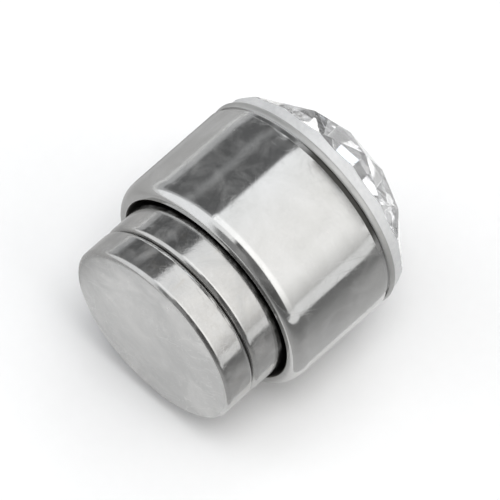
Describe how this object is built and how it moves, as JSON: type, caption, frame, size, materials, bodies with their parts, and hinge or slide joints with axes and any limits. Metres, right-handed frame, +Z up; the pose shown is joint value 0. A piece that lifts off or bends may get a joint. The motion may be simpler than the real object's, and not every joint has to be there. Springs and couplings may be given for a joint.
{
  "type": "magnetic earring",
  "caption": "Magnetic stud earring: a round brilliant stone in a polished metal cup, held by a disc magnet in the cup and a loose disc magnet behind it.",
  "frame": {"origin": "on the resting surface, under the middle of the earring's box", "axes": "+Z up; the earring lies on its cup's side with its axis along +Y, from the loose magnet to the stone; +X to the right seen from the back"},
  "size_m": [0.006, 0.0066, 0.006],
  "materials": {
    "stone": "polished, flawless, with sharp facets",
    "cup": "bright polished",
    "front_magnet": "bright nickel plate",
    "back_magnet": "bright nickel plate, with a satin face"
  },
  "bodies": {
    "front": {"stone": "stone", "cup": "cup", "front_magnet": "front_magnet"},
    "back": {"back_magnet": "back_magnet"}
  },
  "joints": [
    {"name": "back_pull", "type": "slide", "parent": "front", "child": "back", "axis": [0, -1, 0], "range_m": [0, 0.006]}
  ]
}
